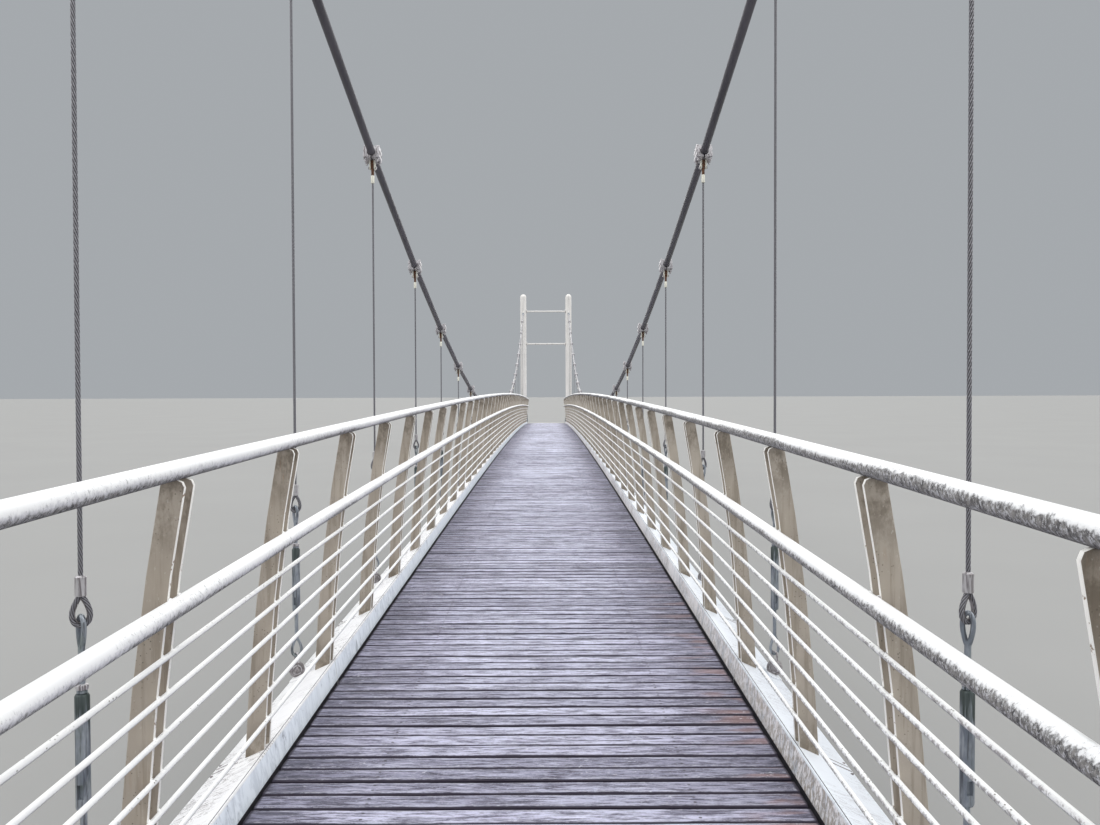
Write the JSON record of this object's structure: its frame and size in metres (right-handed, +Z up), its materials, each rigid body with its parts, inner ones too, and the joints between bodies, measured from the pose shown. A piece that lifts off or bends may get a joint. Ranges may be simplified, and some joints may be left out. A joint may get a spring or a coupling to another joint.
{
  "type": "wire-rope suspension footbridge, scale model at 1:2",
  "caption": "Suspension footbridge at half size: timber deck hung on hangers from parabolic wire-rope main cables, with railings, column towers, stays and concrete blocks.",
  "frame": {"origin": "on the floor, under the middle of the span", "axes": "+Z up, +Y along the bridge, +X to the right hand of a walker who goes along +Y"},
  "size_m": [1.65, 33.9, 3.918],
  "materials": {
    "white_paint": "off-white gloss paint, weathered, with dark lichen on the rails' undersides",
    "post_paint": "taupe stained paint on the posts' broad faces",
    "wire_rope": "dark weathered steel wire rope",
    "galvanised_steel": "dull galvanised steel",
    "timber": "weathered grey-violet deck boards",
    "concrete": "plain cast concrete"
  },
  "bodies": {
    "root": {"near_deck": "timber", "middle_deck": "timber", "far_deck": "timber", "underframe": "galvanised_steel", "left_edge_beam": "white_paint", "left_handrail": "white_paint", "left_mid_rail": "white_paint", "left_rod_1": "white_paint", "left_rod_2": "white_paint", "left_rod_3": "white_paint", "left_rod_4": "white_paint", "left_rod_5": "white_paint", "left_rod_6": "white_paint", "left_main_cable": "wire_rope", "right_edge_beam": "white_paint", "right_handrail": "white_paint", "right_mid_rail": "white_paint", "right_rod_1": "white_paint", "right_rod_2": "white_paint", "right_rod_3": "white_paint", "right_rod_4": "white_paint", "right_rod_5": "white_paint", "right_rod_6": "white_paint", "right_main_cable": "wire_rope", "near_abutment": "concrete", "near_upper_crossbar": "white_paint", "near_lower_crossbar": "white_paint", "near_left_column": "white_paint", "near_left_stay": "wire_rope", "near_left_anchor_block": "concrete", "near_right_column": "white_paint", "near_right_stay": "wire_rope", "near_right_anchor_block": "concrete", "far_abutment": "concrete", "far_upper_crossbar": "white_paint", "far_lower_crossbar": "white_paint", "far_left_column": "white_paint", "far_left_stay": "wire_rope", "far_left_anchor_block": "concrete", "far_right_column": "white_paint", "far_right_stay": "wire_rope", "far_right_anchor_block": "concrete"}
  },
  "joints": []
}
